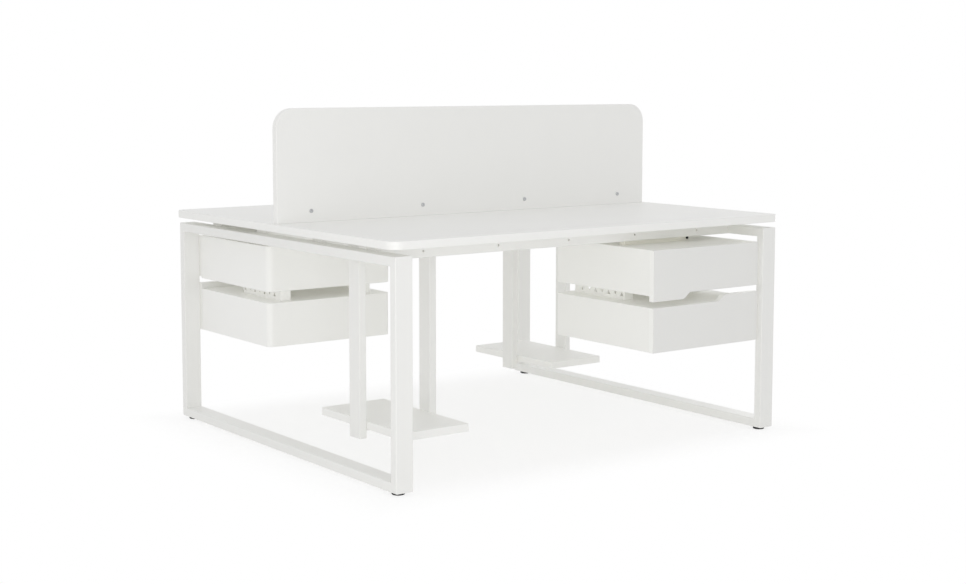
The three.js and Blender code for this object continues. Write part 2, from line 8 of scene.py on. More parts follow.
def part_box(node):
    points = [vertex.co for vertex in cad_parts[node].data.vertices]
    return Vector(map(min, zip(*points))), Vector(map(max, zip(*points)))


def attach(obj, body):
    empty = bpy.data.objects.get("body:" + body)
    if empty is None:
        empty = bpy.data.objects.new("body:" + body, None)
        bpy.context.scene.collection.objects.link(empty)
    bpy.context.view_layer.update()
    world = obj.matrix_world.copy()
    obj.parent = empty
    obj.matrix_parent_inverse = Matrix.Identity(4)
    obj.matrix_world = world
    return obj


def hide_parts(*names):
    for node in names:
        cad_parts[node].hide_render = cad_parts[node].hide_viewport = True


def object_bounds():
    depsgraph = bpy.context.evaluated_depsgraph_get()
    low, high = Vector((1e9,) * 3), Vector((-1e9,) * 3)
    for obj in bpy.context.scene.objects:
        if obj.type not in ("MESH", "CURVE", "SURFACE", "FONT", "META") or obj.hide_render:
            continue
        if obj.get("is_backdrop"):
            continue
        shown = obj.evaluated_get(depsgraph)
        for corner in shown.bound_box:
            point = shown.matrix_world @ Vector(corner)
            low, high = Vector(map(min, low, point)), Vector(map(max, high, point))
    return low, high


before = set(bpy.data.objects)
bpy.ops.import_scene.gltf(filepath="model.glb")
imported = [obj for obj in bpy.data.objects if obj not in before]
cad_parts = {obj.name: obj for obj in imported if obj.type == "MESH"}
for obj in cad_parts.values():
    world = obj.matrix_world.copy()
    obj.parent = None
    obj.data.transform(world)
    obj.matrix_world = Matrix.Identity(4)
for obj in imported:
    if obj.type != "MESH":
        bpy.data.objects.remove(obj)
cad_low, cad_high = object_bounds()

# A benching desk for two. The near person's half is built where the CAD has it, and the far half is
# the same turned half a turn about Z. All sizes are in metres. Those named here are the ones that the
# boxes of the CAD's nodes don't give.

HALVES = (("near", 0.0), ("far", math.pi))
SIDES = (("left", -1), ("right", 1))
UP = (0, 0, 1)
DOWN = (0, 0, -1)
TO_BACK = (0, 1, 0)
TO_FRONT = (0, -1, 0)
SEAT = 0.0003             # clearance between pieces that seat on each other
CUT_MARGIN = 0.01         # of cutters beyond the piece that they cut

# Fineness of the meshes
ARC_STEPS = 12            # in each rounded corner of an outline
EASE_STEPS = 3            # across an eased edge
ROUND_SIDES = 48          # of turned pieces
GRIP_CURVE_STEPS = 20
FLOOR_SIDES = 96
SHARP_ANGLE = math.radians(35)
PLANE_TOLERANCE = 1e-6

# Screw heads; the shares are of a head's own sizes
HEAD_RIM = 0.4            # of the height, for the rounded rim
HEAD_RIM_BULGE = 0.3      # of the rim, for the point between its ends
SOCKET_MOUTH = 1.12       # of the socket's radius
SOCKET_MOUTH_DROP = 0.0002
SOCKET_TAPER = 0.97       # of the socket's radius, at its full depth
SOCKET_POINT = (0.4, 1.15)  # of the socket's radius and depth, at its drilled point
HEX_HALF_SIDE = math.pi / 6  # half the angle that a hexagon's side takes up

# Worktops and screen
TOP_CORNER = 0.040
TOP_EDGE = 0.0015
SEAM_STRIP_DEPTH = 0.016  # of the strips that close the seam's ends
SEAM_STRIP_DROP = 0.0005
SCREEN_CORNER = 0.065
SCREEN_EDGE = 0.0025
SCREEN_FIXINGS = range(1, 5)  # numbers of the bolts and of the brackets
SCREEN_BOLT_RADIUS = 0.004
SCREEN_CAP_RADIUS = 0.0067  # as in the photograph, less than in the CAD
SCREEN_CAP_SOCKET = (0.0035, 0.0020)  # radius and depth
SLOT_ROOM = 0.0003        # around the brackets' tongues and the bolts
TONGUE_SIZE = (0.040, 0.006)
TONGUE_TOP = 0.825
BRACKET_SCREW_PLACES = (-0.050, 0.050)  # to both sides of the seam

# Leg frames and glides
TUBE_THICKNESS = 0.030
TUBE_EDGE = 0.003
WELD_HALF_WIDTH = 0.0008
WELD_DEPTH = 0.00025
GLIDE_FOOT = ((0.0030, 0.0, "round"), (0.0010, 0.0008, "round"), (0.0, 0.0025, "fluted"))  # inset, height
GLIDE_SHOULDER = ((0.0, 0.0030, "fluted"), (0.0008, 0.0010, "fluted"), (0.0025, 0.0, "round"))  # inset, drop
GLIDE_STEM_RADIUS = 0.005
FLUTE_COUNT = 12
FLUTE_DEPTH = 0.04        # in parts of the rim's radius

# Cross beams
BEAM_EDGE = 0.003
BEAM_WALL = 0.002
BEAM_END_PLATE = 0.004
BEAM_HOLE_RADIUS = 0.004
BEAM_HOLE_PITCH = 0.286
BEAM_HOLE_COUNT = 5
BEAM_HOLE_RISE = 0.020    # above the beam's underside
BEAM_SCREW_PITCH = 0.572
BEAM_SCREW_COUNT = 3
BEAM_REST_LENGTH = 0.014  # of a beam's ends on the frames' tops
BEAM_REST_INSET = 0.001

# Computer holders
POST_WIDTH = 0.025
POST_EDGE = 0.002
POST_END_EDGE = 0.0006
FLANGE_MARGIN = 0.018     # around the post
FLANGE_THICKNESS = 0.004
FLANGE_CORNER = 0.006
LUG_LENGTH = 0.040
LUG_THICKNESS = 0.004
LUG_SCREW_INSET = 0.015
PLATE_EDGE = 0.0005       # of flanges and lugs
SHELF_EDGE = 0.0015

# Hanging drawer units
CASE_WALL = 0.0015
CASE_CORNER = 0.020
CASE_BEND = 0.0020
HANGER_INSET = 0.035      # from the casing's left side
HANGER_LENGTH = 0.296
HANGER_WIDTH = 0.024
HANGER_SHIFTS = (("outer", 0.016), ("inner", -0.010))  # of the bars from the beams' middles
HANGER_EDGE = 0.001
HANGER_SCREW_PLACE = (0.007, 0.007)  # from the front bar's right end and from the beam
LINK_WALL = 0.002
LINK_BEND = 0.003
LINK_HOLE_COUNT = 7
LINK_HOLE_PITCH = 0.034
LINK_HOLE_SHIFT = 0.015   # of the row towards the drawers' fronts
LINK_HOLE_SIZE = (0.017, 0.015)
LINK_HOLE_CORNER = 0.0010
FRONT_EDGE = 0.001
GRIP_RISE = 0.022         # of the upper front's lower edge at its step
GRIP_LIP = 0.021          # of the lower front's upper edge at its step
GRIP_DEEP_WIDTH = 0.127   # of the upper front left of its step
GRIP_STEP = 0.048
GRIP_SPAN = 0.164         # from the upper front's step to the lower front's
TRAY_WALL = 0.0015
TRAY_BEND = 0.0025
RAIL_WALL = 0.0015
RAIL_BEND = 0.0022
RAIL_LIP = 0.0006

# Finishes
CLOUD_DETAIL = 4.0
GRAIN_DETAIL = 3.0
GRAIN_RANGE = (0.3, 0.7)  # of the noise, which the roughness follows
UNSTRETCHED = (1.0, 1.0, 1.0)
BAND_STRETCH = (1.0, 1.0, 4.0)
BRUSH_STRETCH = (1.0, 0.08, 1.0)

# Floor, light and camera
FLOOR_RADIUS = 40.0
FLOOR_COLOUR = (0.95, 0.95, 0.945)
FLOOR_WHITE_SHARES = (0.70, 1.0)  # of the backdrop's white in the floor, under the desk and away from it
FLOOR_WHITE_REACH = (0.80, 1.25)  # reaches with these shares, in parts of the desk's own
AMBIENT_COLOUR = (1.0, 1.0, 1.012)
AMBIENT_LEVELS = (0.68, 0.76)  # from the walls and from the ceiling
FILL_COLOUR = (1.0, 0.99, 0.88)
DIFFUSE_BOUNCES = 12
CAMERA_PLACE = (-3.3095, -4.4916, 1.2128)
CAMERA_TILT = math.radians(5.529)  # down from level
CAMERA_BEARING = math.radians(-36.195)
CAMERA_LENS = 59.655      # in millimetres, like the sensor's width
CAMERA_SENSOR_WIDTH = 36.0
CAMERA_SHIFT = (0.01613, -0.06)


# Materials

def new_material(name):
    """A material with one shader, with its node tree and that shader."""
    material = bpy.data.materials.new(name)
    material.use_nodes = True
    tree = material.node_tree
    tree.nodes.clear()
    output = tree.nodes.new("ShaderNodeOutputMaterial")
    shader = tree.nodes.new("ShaderNodeBsdfPrincipled")
    tree.links.new(shader.outputs["BSDF"], output.inputs["Surface"])
    return material, tree, shader


def noise(tree, scale, detail, stretch):
    """Noise in the piece's own coordinates; scale is in waves per metre."""
    coordinates = tree.nodes.new("ShaderNodeTexCoord")
    mapping = tree.nodes.new("ShaderNodeMapping")
    mapping.inputs["Scale"].default_value = stretch
    texture = tree.nodes.new("ShaderNodeTexNoise")
    texture.inputs["Scale"].default_value = scale
    texture.inputs["Detail"].default_value = detail
    tree.links.new(coordinates.outputs["Object"], mapping.inputs["Vector"])
    tree.links.new(mapping.outputs["Vector"], texture.inputs["Vector"])
    return texture.outputs["Fac"]


def map_range(tree, value, source, target, kind="LINEAR"):
    """A value taken from one range of numbers to another."""
    mapped = tree.nodes.new("ShaderNodeMapRange")
    mapped.interpolation_type = kind
    for label, limits in (("From", source), ("To", target)):
        mapped.inputs[f"{label} Min"].default_value = limits[0]
        mapped.inputs[f"{label} Max"].default_value = limits[1]
    tree.links.new(value, mapped.inputs["Value"])
    return mapped.outputs["Result"]


def surface(name, dark, light, rough, grain, relief, cloud=5.0, metallic=0.0, specular=0.5,
            stretch=UNSTRETCHED):
    """A finish with cloudy colour, and fine grain in its roughness and relief."""
    material, tree, shader = new_material(name)
    shader.inputs["Metallic"].default_value = metallic
    shader.inputs["Specular IOR Level"].default_value = specular

    tint = tree.nodes.new("ShaderNodeMix")
    tint.data_type = "RGBA"
    tint.inputs["A"].default_value = (*dark, 1.0)
    tint.inputs["B"].default_value = (*light, 1.0)
    tree.links.new(noise(tree, cloud, CLOUD_DETAIL, stretch), tint.inputs["Factor"])
    tree.links.new(tint.outputs["Result"], shader.inputs["Base Color"])

    fine = noise(tree, grain, GRAIN_DETAIL, stretch)
    tree.links.new(map_range(tree, fine, GRAIN_RANGE, rough), shader.inputs["Roughness"])

    bump = tree.nodes.new("ShaderNodeBump")
    bump.inputs["Strength"].default_value = relief[0]
    bump.inputs["Distance"].default_value = relief[1]
    tree.links.new(fine, bump.inputs["Height"])
    tree.links.new(bump.outputs["Normal"], shader.inputs["Normal"])
    return material


board_white = surface(
    "laminate_white", dark=(0.865, 0.865, 0.850), light=(0.885, 0.885, 0.872), rough=(0.40, 0.52),
    grain=1300.0, relief=(0.10, 0.0002))
band_white = surface(
    "edge_band_white", dark=(0.865, 0.865, 0.850), light=(0.885, 0.885, 0.872), rough=(0.30, 0.40),
    grain=500.0, relief=(0.05, 0.0002), stretch=BAND_STRETCH)
# Painted shade: a darker white than the other boards, for the shade on the drawer fronts' faces.
front_white_painted_shade = surface(
    "front_white_painted_shade", dark=(0.785, 0.785, 0.772), light=(0.805, 0.805, 0.792), rough=(0.34, 0.46),
    grain=900.0, relief=(0.10, 0.0002))
# Edge banding of the drawer fronts, in a lighter white that paints the highlight along their edges.
front_band_and_highlight = surface(
    "front_band_white", dark=(0.925, 0.925, 0.911), light=(0.940, 0.940, 0.927), rough=(0.30, 0.40),
    grain=500.0, relief=(0.05, 0.0002), stretch=BAND_STRETCH)
coat_white = surface(
    "powder_coat_white", dark=(0.825, 0.825, 0.812), light=(0.845, 0.845, 0.832), rough=(0.34, 0.48),
    grain=650.0, relief=(0.16, 0.0003))
sheet_white = surface(
    "sheet_coat_white", dark=(0.895, 0.895, 0.882), light=(0.915, 0.915, 0.902), rough=(0.38, 0.52),
    grain=650.0, relief=(0.12, 0.0003))
zinc = surface(
    "zinc_plated_steel", dark=(0.50, 0.51, 0.52), light=(0.64, 0.65, 0.66), rough=(0.28, 0.46),
    grain=400.0, relief=(0.10, 0.0001), cloud=60.0, metallic=1.0, stretch=BRUSH_STRETCH)
# Steel of the hanger bars, olive-grey as painted shade under the beams.
steel_painted_shade = surface(
    "steel_painted_shade_olive", dark=(0.80, 0.79, 0.73), light=(0.86, 0.85, 0.79), rough=(0.46, 0.60),
    grain=300.0, relief=(0.08, 0.0001), cloud=30.0, metallic=0.1)
black_plastic = surface(
    "black_plastic", dark=(0.010, 0.010, 0.011), light=(0.018, 0.018, 0.019), rough=(0.52, 0.66),
    grain=900.0, relief=(0.25, 0.0002), cloud=40.0, specular=0.25)


# Outlines and meshes

def filleted(corners):
    """Corner points with a radius each, as an outline with arcs."""
    outline = []
    for index, (x, y, radius) in enumerate(corners):
        here = Vector((x, y))
        if radius == 0:
            outline.append(here)
            continue
        back = (Vector(corners[index - 1][:2]) - here).normalized()
        ahead = (Vector(corners[(index + 1) % len(corners)][:2]) - here).normalized()
        half_angle = back.angle(ahead) / 2
        middle = here + (back + ahead).normalized() * (radius / math.sin(half_angle))
        start = here + back * (radius / math.tan(half_angle)) - middle
        end = here + ahead * (radius / math.tan(half_angle)) - middle
        first = math.atan2(start.y, start.x)
        sweep = (math.atan2(end.y, end.x) - first + math.pi) % (2 * math.pi) - math.pi
        for step in range(ARC_STEPS + 1):
            angle = first + sweep * step / ARC_STEPS
            outline.append(middle + radius * Vector((math.cos(angle), math.sin(angle))))
    return outline


def rectangle(u0, v0, u1, v1, low_radius=0.0, high_radius=0.0):
    """A rectangle whose corners at v0 and at v1 are rounded."""
    return filleted([
        (u0, v0, low_radius),
        (u1, v0, low_radius),
        (u1, v1, high_radius),
        (u0, v1, high_radius),
    ])


PLACING = {
    "x": lambda u, v, w: (w, u, v),
    "y": lambda u, v, w: (u, w, v),
    "z": lambda u, v, w: (u, v, w),
}


def add_prism(bm, outline, axis, low, high):
    """An outline made long along an axis. Its ends have material 0 and its sides material 1."""
    placed = PLACING[axis]
    rings = [[bm.verts.new(placed(u, v, w)) for u, v in outline] for w in (low, high)]
    bm.faces.new(reversed(rings[0]))
    bm.faces.new(rings[1])
    for index in range(len(outline)):
        after = (index + 1) % len(outline)
        side = bm.faces.new((rings[0][index], rings[0][after], rings[1][after], rings[1][index]))
        side.material_index = 1
    return bm


def prism(outline, axis, low, high):
    """A mesh of one such prism."""
    return add_prism(bmesh.new(), outline, axis, low, high)


def in_plane(part, axis, level):
    """Whether all points of an edge or a face lie at a level along an axis."""
    return all(abs(vertex.co["xyz".index(axis)] - level) < PLANE_TOLERANCE for vertex in part.verts)


def ease(bm, width, square=None):
    """Rounds all edges that are sharper than an arc's own steps, but for those in a plane (axis, level)."""
    bmesh.ops.recalc_face_normals(bm, faces=bm.faces)
    sharp = [e for e in bm.edges if len(e.link_faces) == 2 and e.calc_face_angle() > SHARP_ANGLE]
    if square:
        sharp = [e for e in sharp if not in_plane(e, *square)]
    bmesh.ops.bevel(bm, geom=sharp, offset=width, offset_type="OFFSET", segments=EASE_STEPS,
                    profile=0.5, affect="EDGES", clamp_overlap=True)
    return bm


def ring_radius(form, radius, angle):
    """A turned piece's radius at an angle: round, a hexagon's socket or a fluted rim."""
    if form == "hex":
        return radius * math.cos(HEX_HALF_SIDE) / math.cos(angle % (2 * HEX_HALF_SIDE) - HEX_HALF_SIDE)
    if form == "fluted":
        return radius * (1 - FLUTE_DEPTH * (1 - math.cos(FLUTE_COUNT * angle)) / 2)
    return radius


def add_turned(bm, profile, at, along):
    """A turned piece of rings of (radius, height, form) about an axis, closed at both ends."""
    turn = Vector(UP).rotation_difference(Vector(along)).to_matrix().to_4x4()
    matrix = Matrix.Translation(at) @ turn
    angles = [2 * math.pi * side / ROUND_SIDES for side in range(ROUND_SIDES)]
    rings = []
    for radius, height, form in profile:
        reaches = [ring_radius(form, radius, angle) for angle in angles]
        rings.append([bm.verts.new(matrix @ Vector((r * math.cos(a), r * math.sin(a), height)))
                      for a, r in zip(angles, reaches)])
    for lower, upper in zip(rings, rings[1:]):
        for side in range(ROUND_SIDES):
            after = (side + 1) % ROUND_SIDES
            bm.faces.new((lower[side], lower[after], upper[after], upper[side]))
    bm.faces.new(reversed(rings[0]))
    bm.faces.new(rings[-1])
    return bm


def add_drill(bm, radius, reach, at):
    """A round cutter along Y that reaches as far both ways from a place."""
    add_turned(bm, [(radius, -reach, "round"), (radius, reach, "round")], at, TO_BACK)


def socket_head(radius, height, socket, dip):
    """Rings of a low cap with rounded rim and a hexagon socket."""
    rim = height * HEAD_RIM
    bulge = rim * HEAD_RIM_BULGE
    return [
        (radius, 0.0, "round"),
        (radius, height - rim, "round"),
        (radius - bulge, height - bulge, "round"),
        (radius - rim, height, "round"),
        (socket * SOCKET_MOUTH, height, "round"),
        (socket, height - SOCKET_MOUTH_DROP, "hex"),
        (socket * SOCKET_TAPER, height - dip, "hex"),
        (socket * SOCKET_POINT[0], height - dip * SOCKET_POINT[1], "round"),
    ]


SCREW_HEAD = socket_head(radius=0.0055, height=0.0026, socket=0.0020, dip=0.0014)


def object_of(name, bm):
    """The mesh as an object in the scene."""
    bmesh.ops.recalc_face_normals(bm, faces=bm.faces)
    mesh = bpy.data.meshes.new(name)
    bm.to_mesh(mesh)
    bm.free()
    obj = bpy.data.objects.new(name, mesh)
    bpy.context.scene.collection.objects.link(obj)
    return obj


def drilled(bm, cutters):
    """The mesh with other meshes cut out of it."""
    base = object_of("drilled", bm)
    tool = object_of("drill", cutters)
    cut = base.modifiers.new("cut", "BOOLEAN")
    cut.operation = "DIFFERENCE"
    cut.solver = "EXACT"
    cut.object = tool
    graph = bpy.context.evaluated_depsgraph_get()
    result = bmesh.new()
    result.from_object(base, graph)
    for spent in (base, tool):
        mesh = spent.data
        bpy.data.objects.remove(spent)
        bpy.data.meshes.remove(mesh)
    return result


def piece(name, bm, looks, body, node=None, turn=0.0, wall=0.0):
    """A finished piece on a CAD body. With a wall, an open mesh becomes sheet of that thickness."""
    bm.transform(Matrix.Rotation(turn, 4, "Z"))
    obj = object_of(name, bm)
    mesh = obj.data
    for material in looks:
        mesh.materials.append(material)
    mesh.polygons.foreach_set("use_smooth", [True] * len(mesh.polygons))
    mesh.set_sharp_from_angle(angle=SHARP_ANGLE)
    if wall:
        sheet = obj.modifiers.new("wall", "SOLIDIFY")
        sheet.thickness = wall
        sheet.offset = -1.0
        sheet.use_even_offset = True
    normals = obj.modifiers.new("flat_faces", "WEIGHTED_NORMAL")
    normals.keep_sharp = True
    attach(obj, body)
    if node:
        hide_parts(node)


def board(node, low, high, edge, turn, front_corner=0.0):
    """A lying board with banded edges, whose front corners may be round."""
    outline = rectangle(low.x, low.y, high.x, high.y, front_corner)
    bm = ease(prism(outline, "z", low.z, high.z), edge)
    piece(f"{node}_board", bm, (board_white, band_white), "desk", node, turn)


def screw_heads(name, places, turn=0.0):
    """Heads of screws that are driven in from below."""
    bm = bmesh.new()
    for at in places:
        add_turned(bm, SCREW_HEAD, at, DOWN)
    piece(name, bm, (zinc,), "desk", turn=turn)


def even_places(count, pitch):
    """Evenly spaced places about the middle."""
    return [(index - (count - 1) / 2) * pitch for index in range(count)]


# Worktops and screen

top_low, top_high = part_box("near_worktop")
for half, turn in HALVES:
    board(f"{half}_worktop", top_low, top_high, TOP_EDGE, turn, TOP_CORNER)

seam_half_width = -top_high.y + TOP_EDGE
for name, start in (("left", top_low.x), ("right", top_high.x - SEAM_STRIP_DEPTH)):
    section = rectangle(-seam_half_width, top_low.z + SEAM_STRIP_DROP,
                        seam_half_width, top_high.z - SEAM_STRIP_DROP)
    strip = prism(section, "x", start, start + SEAM_STRIP_DEPTH)
    piece(f"seam_strip_{name}", strip, (band_white, board_white), "desk")

screen_low, screen_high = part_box("screen_panel")
screen_low.z = top_high.z + SEAT  # it stands on the worktops, on a lower edge that stays square
outline = rectangle(screen_low.x, screen_low.z, screen_high.x, screen_high.z, 0.0, SCREEN_CORNER)
panel = ease(prism(outline, "y", screen_low.y, screen_high.y), SCREEN_EDGE, ("z", screen_low.z))
bolt_places = [sum(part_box(f"screen_bolt_{number}"), Vector()) / 2 for number in SCREEN_FIXINGS]
slots = bmesh.new()
for at in bolt_places:
    half_width, half_depth = (size / 2 + SLOT_ROOM for size in TONGUE_SIZE)
    outline = rectangle(at.x - half_width, -half_depth, at.x + half_width, half_depth)
    add_prism(slots, outline, "z", screen_low.z - CUT_MARGIN, TONGUE_TOP + SLOT_ROOM)
panel = drilled(panel, slots)
holes = bmesh.new()
for at in bolt_places:
    add_drill(holes, SCREEN_BOLT_RADIUS + SLOT_ROOM, screen_high.y + CUT_MARGIN, at)
panel = drilled(panel, holes)
piece("screen_panel_board", panel, (board_white, band_white), "desk", "screen_panel")

for number, at in zip(SCREEN_FIXINGS, bolt_places):
    low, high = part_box(f"screen_bolt_{number}")
    face = screen_high.y + SEAT
    cap = socket_head(SCREEN_CAP_RADIUS, high.y - face, *SCREEN_CAP_SOCKET)
    outward = [(SCREEN_BOLT_RADIUS, face, "round")]
    outward += [(radius, face + height, form) for radius, height, form in cap]
    inward = [(radius, -height, form) for radius, height, form in reversed(outward)]
    bolt = add_turned(bmesh.new(), inward + outward, (at.x, 0.0, at.z), TO_BACK)
    piece(f"screen_bolt_{number}_cap", bolt, (zinc,), "desk", f"screen_bolt_{number}")


# Leg frames and glides

def frame_loop(low, high):
    """A loop of tube with rounded edges, mitred at the corners, with a faint weld line on each mitre."""
    width = high.x - low.x
    section = rectangle(0.0, 0.0, TUBE_THICKNESS, width, TUBE_EDGE, TUBE_EDGE)
    middle = Vector((TUBE_THICKNESS / 2, width / 2))
    corners = [
        (low.y, low.z, 1, 1),
        (high.y, low.z, -1, 1),
        (high.y, high.z, -1, -1),
        (low.y, high.z, 1, -1),
    ]
    bm = bmesh.new()
    rings = []
    for index, (y, z, inward_y, inward_z) in enumerate(corners):
        along_y = (inward_y, 0)
        along_z = (0, inward_z)
        # The loop reaches corners 1 and 3 along Y, and the others along Z
        arriving, leaving = (along_y, along_z) if index % 2 else (along_z, along_y)
        for (step_y, step_z), depth in ((arriving, 0.0), ((0, 0), WELD_DEPTH), (leaving, 0.0)):
            ring = []
            for point in section:
                reach, across = point + (middle - point).normalized() * depth
                ring.append(bm.verts.new((
                    low.x + across,
                    y + inward_y * reach + step_y * WELD_HALF_WIDTH,
                    z + inward_z * reach + step_z * WELD_HALF_WIDTH)))
            rings.append(ring)
    for ring, following in zip(rings, rings[1:] + rings[:1]):
        for index in range(len(section)):
            after = (index + 1) % len(section)
            bm.faces.new((ring[index], ring[after], following[after], following[index]))
    return bm


frame_low, frame_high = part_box("leg_frame_left")
for name, turn in (("left", 0.0), ("right", math.pi)):
    piece(f"leg_frame_{name}_tube", frame_loop(frame_low, frame_high), (coat_white,), "desk",
          f"leg_frame_{name}", turn)

for corner in ("near_left", "near_right", "far_left", "far_right"):
    node = f"glide_{corner}"
    low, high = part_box(node)
    radius = (high.x - low.x) / 2
    pad_top = frame_low.z - SEAT
    profile = [(radius - inset, height, form) for inset, height, form in GLIDE_FOOT]
    profile += [(radius - inset, pad_top - drop, form) for inset, drop, form in GLIDE_SHOULDER]
    profile += [(GLIDE_STEM_RADIUS, height, "round") for height in (pad_top, high.z)]
    pad = add_turned(bmesh.new(), profile, ((low.x + high.x) / 2, (low.y + high.y) / 2, 0.0), UP)
    piece(f"{node}_pad", pad, (black_plastic,), node, node)


# Cross beams

def beam(low, high):
    """A hollow beam between the frames, with holes through its sides."""
    end = -frame_high.x - SEAT
    bm = prism(rectangle(low.y, low.z, high.y, high.z, BEAM_EDGE, BEAM_EDGE), "x", -end, end)
    bore = prism(rectangle(low.y + BEAM_WALL, low.z + BEAM_WALL, high.y - BEAM_WALL, high.z - BEAM_WALL),
                 "x", BEAM_END_PLATE - end, end - BEAM_END_PLATE)
    bm = drilled(bm, bore)
    holes = bmesh.new()
    for x in even_places(BEAM_HOLE_COUNT, BEAM_HOLE_PITCH):
        at = (x, (low.y + high.y) / 2, low.z + BEAM_HOLE_RISE)
        add_drill(holes, BEAM_HOLE_RADIUS, high.y - low.y, at)
    return drilled(bm, holes)


def beam_rests(low, high):
    """Short ends of a beam, which lie on the frames' tops."""
    bm = bmesh.new()
    section = rectangle(low.y + BEAM_REST_INSET, frame_high.z + SEAT, high.y - BEAM_REST_INSET, high.z - SEAT)
    for start in (frame_high.x - BEAM_REST_LENGTH, -frame_high.x):
        add_prism(bm, section, "x", start, start + BEAM_REST_LENGTH)
    return bm


for row in ("outer", "inner"):
    low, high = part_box(f"near_beam_{row}")
    screw_places = [(x, (low.y + high.y) / 2, low.z) for x in even_places(BEAM_SCREW_COUNT, BEAM_SCREW_PITCH)]
    for half, turn in HALVES:
        node = f"{half}_beam_{row}"
        piece(f"{node}_tube", beam(low, high), (coat_white,), "desk", node, turn)
        screw_heads(f"{node}_screws", screw_places, turn)
        piece(f"{node}_rests", beam_rests(low, high), (coat_white, coat_white), "desk",
              turn=turn)


# Screen brackets keep their CAD shape

for number in SCREEN_FIXINGS:
    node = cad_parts[f"screen_bracket_{number}"]
    node.data.materials.clear()
    node.data.materials.append(coat_white)
    low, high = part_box(f"screen_bracket_{number}")
    screw_heads(f"screen_bracket_{number}_screws",
                [((low.x + high.x) / 2, y, low.z) for y in BRACKET_SCREW_PLACES])


# Computer holders

shelf_low, shelf_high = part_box("near_holder_shelf")


def holder_post(half, turn, name, side):
    """A post with a flange under the worktop and, on one side of it, a lug under the shelf."""
    node = f"{half}_holder_post_{name}"
    low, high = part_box(f"near_holder_post_{name}")
    x0 = low.x + FLANGE_MARGIN if side > 0 else high.x - FLANGE_MARGIN - POST_WIDTH
    x1 = x0 + POST_WIDTH
    y0 = low.y + FLANGE_MARGIN
    y1 = high.y - FLANGE_MARGIN
    flange_low = high.z - FLANGE_THICKNESS
    outline = rectangle(x0, y0, x1, y1, POST_EDGE, POST_EDGE)
    tube = ease(prism(outline, "z", low.z, flange_low), POST_END_EDGE)
    piece(f"{node}_tube", tube, (coat_white,), "desk", node, turn)

    outline = rectangle(x0 - FLANGE_MARGIN, low.y, x1 + FLANGE_MARGIN, high.y, FLANGE_CORNER, FLANGE_CORNER)
    flange = ease(prism(outline, "z", flange_low, high.z), PLATE_EDGE)
    piece(f"{node}_flange", flange, (coat_white,), "desk", turn=turn)

    lug_high = shelf_low.z - SEAT
    lug_low = lug_high - LUG_THICKNESS
    lug_start, lug_end = (x1, x1 + LUG_LENGTH) if side > 0 else (x0 - LUG_LENGTH, x0)
    lug = ease(prism(rectangle(lug_start, y0, lug_end, y1), "z", lug_low, lug_high), PLATE_EDGE)
    piece(f"{node}_lug", lug, (coat_white,), "desk", turn=turn)

    flange_screws = [((x0 + x1) / 2, y, flange_low)
                     for y in (low.y + FLANGE_MARGIN / 2, high.y - FLANGE_MARGIN / 2)]
    lug_screws = [((lug_start + lug_end) / 2, y, lug_low)
                  for y in (y0 + LUG_SCREW_INSET, y1 - LUG_SCREW_INSET)]
    screw_heads(f"{node}_screws", flange_screws + lug_screws, turn)


for half, turn in HALVES:
    holder_post(half, turn, "outer", 1)
    holder_post(half, turn, "inner", -1)
    board(f"{half}_holder_shelf", shelf_low, shelf_high, SHELF_EDGE, turn)


# Hanging drawer units

def folded(outline, low, high, bend, axis, level):
    """A folded box, open where its side lies in a plane; it becomes sheet in piece()."""
    bm = prism(outline, "z", low, high)
    opening = [face for face in bm.faces if in_plane(face, axis, level)]
    bmesh.ops.delete(bm, geom=opening, context="FACES_ONLY")
    return ease(bm, bend)


def casing(low, high):
    """A box that is open at the front, with round rear corners."""
    outline = rectangle(low.x, low.y, high.x, high.y, 0.0, CASE_CORNER)
    return folded(outline, low.z, high.z, CASE_BEND, "y", low.y)


def tray(low, high):
    """A box that is open at the top."""
    return folded(rectangle(low.x, low.y, high.x, high.y), low.z, high.z, TRAY_BEND, "z", high.z)


def grip_step(x0, z0, x1, z1):
    """Points of a curved step between two heights of a drawer front's edge."""
    middle = (x0 + x1) / 2
    curve = []
    for index in range(GRIP_CURVE_STEPS + 1):
        t = index / GRIP_CURVE_STEPS
        weights = ((1 - t) ** 3, 3 * t * (1 - t) ** 2, 3 * t ** 2 * (1 - t), t ** 3)
        x = sum(w * value for w, value in zip(weights, (x0, middle, middle, x1)))
        z = sum(w * value for w, value in zip(weights, (z0, z0, z1, z1)))
        curve.append((x, z))
    return curve


def upper_front_outline(low, high):
    """A front whose lower edge steps up to leave room for the fingers."""
    raised = low.z + GRIP_RISE
    start = low.x + GRIP_DEEP_WIDTH
    step = grip_step(start, low.z, start + GRIP_STEP, raised)
    return [(low.x, low.z), *step, (high.x, raised), (high.x, high.z), (low.x, high.z)]


def lower_front_outline(low, high):
    """A front whose upper edge follows the upper front's step further along."""
    lowered = high.z - GRIP_LIP
    start = low.x + GRIP_DEEP_WIDTH + GRIP_SPAN
    step = grip_step(start + GRIP_STEP, high.z, start, lowered)
    return [(low.x, low.z), (high.x, low.z), (high.x, high.z), *step, (low.x, lowered)]


FRONT_OUTLINES = {"upper": upper_front_outline, "lower": lower_front_outline}


def channel_outline(web, opening, depth, low, high, wall, bend, lip=0.0):
    """A folded channel's section, from low to high along its web, which opens along +X or -X."""
    inner_bend = bend - wall
    section = [
        (0.0, low, bend),
        (depth, low, lip),
        (depth, low + wall, lip),
        (wall, low + wall, inner_bend),
        (wall, high - wall, inner_bend),
        (depth, high - wall, lip),
        (depth, high, lip),
        (0.0, high, bend),
    ]
    return filleted([(web + opening * reach, along, radius) for reach, along, radius in section])


def rail(low, high, opening):
    """A rolled channel along Y."""
    web = low.x if opening > 0 else high.x
    outline = channel_outline(web, opening, high.x - low.x, low.z, high.z, RAIL_WALL, RAIL_BEND, RAIL_LIP)
    return prism(outline, "y", low.y, high.y)


